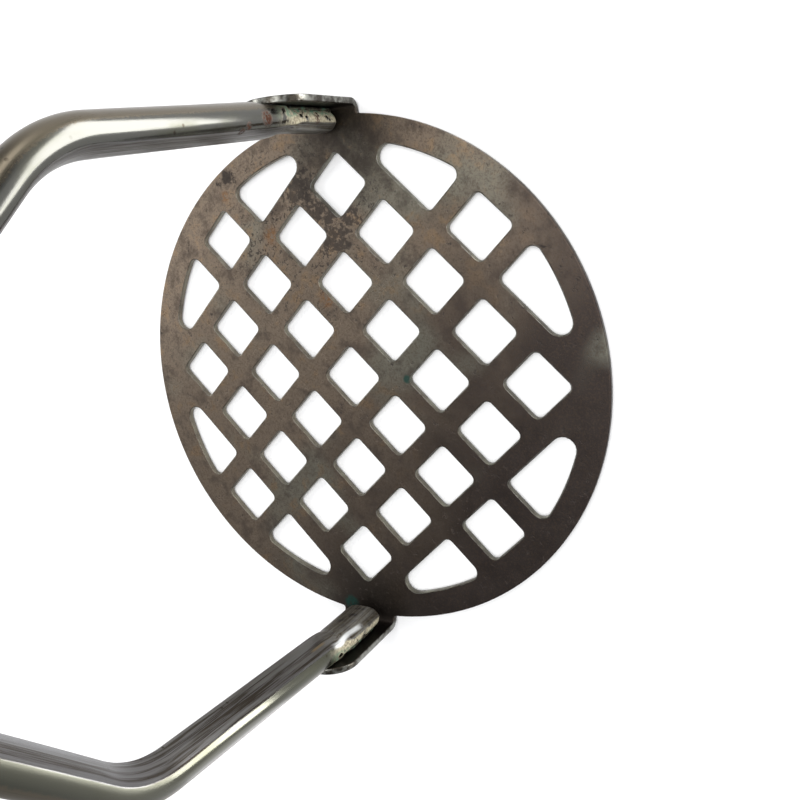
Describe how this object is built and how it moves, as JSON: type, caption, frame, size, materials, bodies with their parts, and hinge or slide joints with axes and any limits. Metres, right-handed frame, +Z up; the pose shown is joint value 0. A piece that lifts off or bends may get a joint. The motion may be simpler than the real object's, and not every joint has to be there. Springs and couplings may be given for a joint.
{
  "type": "potato masher",
  "caption": "Hand masher: a round steel plate pierced with square holes on two bent half-round rods, with a ferruled wooden handle and a hanging ring.",
  "frame": {"origin": "centre of the mashing plate's underside, on the handle's axis", "axes": "+Z up along the handle, away from the plate; the plate's two ears and the rods stand at +X and -X; the resting ring lies towards -Y"},
  "size_m": [0.0878, 0.084, 0.2369],
  "materials": {
    "plate_steel": "tarnished nickel plate, brown and grey, pitted",
    "rod_steel": "worn bright nickel plate",
    "brazing": "dull, with green corrosion",
    "fitting_steel": "worn bright nickel plate",
    "wood": "turned beech, oiled and worn"
  },
  "bodies": {
    "masher": {"mashing_plate": "plate_steel", "rod_right": "rod_steel", "rod_left": "rod_steel", "brazing_right": "brazing", "brazing_left": "brazing", "ferrule": "fitting_steel", "wooden_handle": "wood", "lower_rivet": "fitting_steel", "upper_rivet": "fitting_steel", "screw_eye": "fitting_steel"},
    "ring": {"hanging_ring": "fitting_steel"}
  },
  "joints": [
    {"name": "ring_swing", "type": "hinge", "parent": "masher", "child": "ring", "pos_m": [0, 0, 0.2297], "axis": [-1, 0, 0], "range_deg": [0, 286]}
  ]
}
